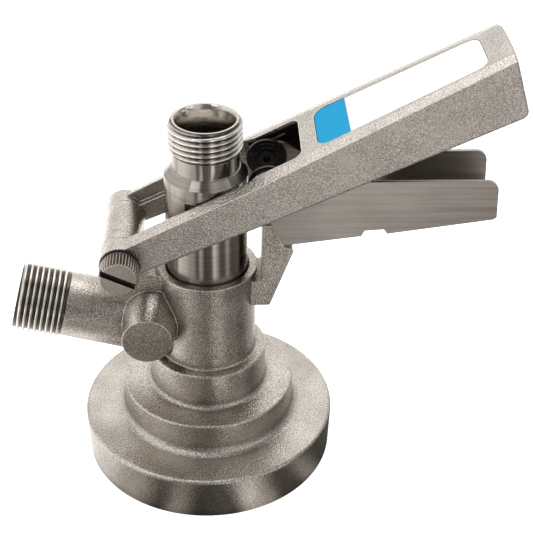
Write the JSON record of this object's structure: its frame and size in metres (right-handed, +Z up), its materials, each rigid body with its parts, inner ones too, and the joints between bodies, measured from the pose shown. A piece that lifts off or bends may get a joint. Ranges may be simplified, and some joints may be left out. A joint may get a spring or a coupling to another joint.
{
  "type": "keg coupler",
  "caption": "Slide-on keg coupler with a flanged base, a tilted threaded gas inlet, a sliding threaded probe and a forked lever with a release trigger.",
  "frame": {"origin": "centre of the underside of the base, on the axis of the probe", "axes": "+Z up along the probe, +X towards the handle, -X towards the gas inlet, +Y to the open side of the keg slot"},
  "size_m": [0.1576, 0.0838, 0.1476],
  "materials": {
    "cast_body": "satin",
    "cast_lever": "satin",
    "probe_steel": "polished",
    "trigger_steel": "brushed lengthwise",
    "bolt_steel": "turned",
    "spring_steel": "drawn",
    "black_rubber": "matt",
    "black_plastic": "satin",
    "black_screw": "black oxide",
    "ball_white": "gloss",
    "label_film": "gloss"
  },
  "bodies": {
    "coupler_body": {"body_casting": "cast_body", "keg_seal": "black_rubber", "upper_o_ring": "black_rubber", "lower_o_ring": "black_rubber", "gas_check_valve": "black_rubber", "check_valve_ring": "black_plastic"},
    "lever": {"lever_handle": "cast_lever", "hinge_bolt": "bolt_steel", "bolt_washer": "black_plastic", "drive_pins": "bolt_steel", "pivot_bushes": "black_plastic", "pivot_screws": "black_screw", "trigger_springs": "spring_steel", "label_insert": "label_film"},
    "sliding_probe": {"probe": "probe_steel", "probe_seal": "black_rubber", "ball_retainer": "black_plastic"},
    "ball": {"check_ball": "ball_white"},
    "trigger": {"release_trigger": "trigger_steel"}
  },
  "joints": [
    {"name": "lever_hinge", "type": "hinge", "parent": "coupler_body", "child": "lever", "pos_m": [-0.0263, 0, 0.0811], "axis": [0, 1, 0], "range_deg": [0, 28]},
    {"name": "probe_slide", "type": "slide", "parent": "coupler_body", "child": "sliding_probe", "axis": [0, 0, -1], "range_m": [0, 0.0129]},
    {"name": "trigger_squeeze", "type": "hinge", "parent": "lever", "child": "trigger", "pos_m": [0.01892, 0, 0.10427], "axis": [0, -1, 0], "range_deg": [0, 12.5], "stiffness_Nm_per_rad": 0.8, "springref_deg": -17.19},
    {"name": "check_ball_lift", "type": "slide", "parent": "sliding_probe", "child": "ball", "axis": [0, 0, 1], "range_m": [0, 0.0035]}
  ],
  "couplings": [
    {"joint": "probe_slide", "follows": "lever_hinge", "m_per_rad": 0.026397}
  ]
}
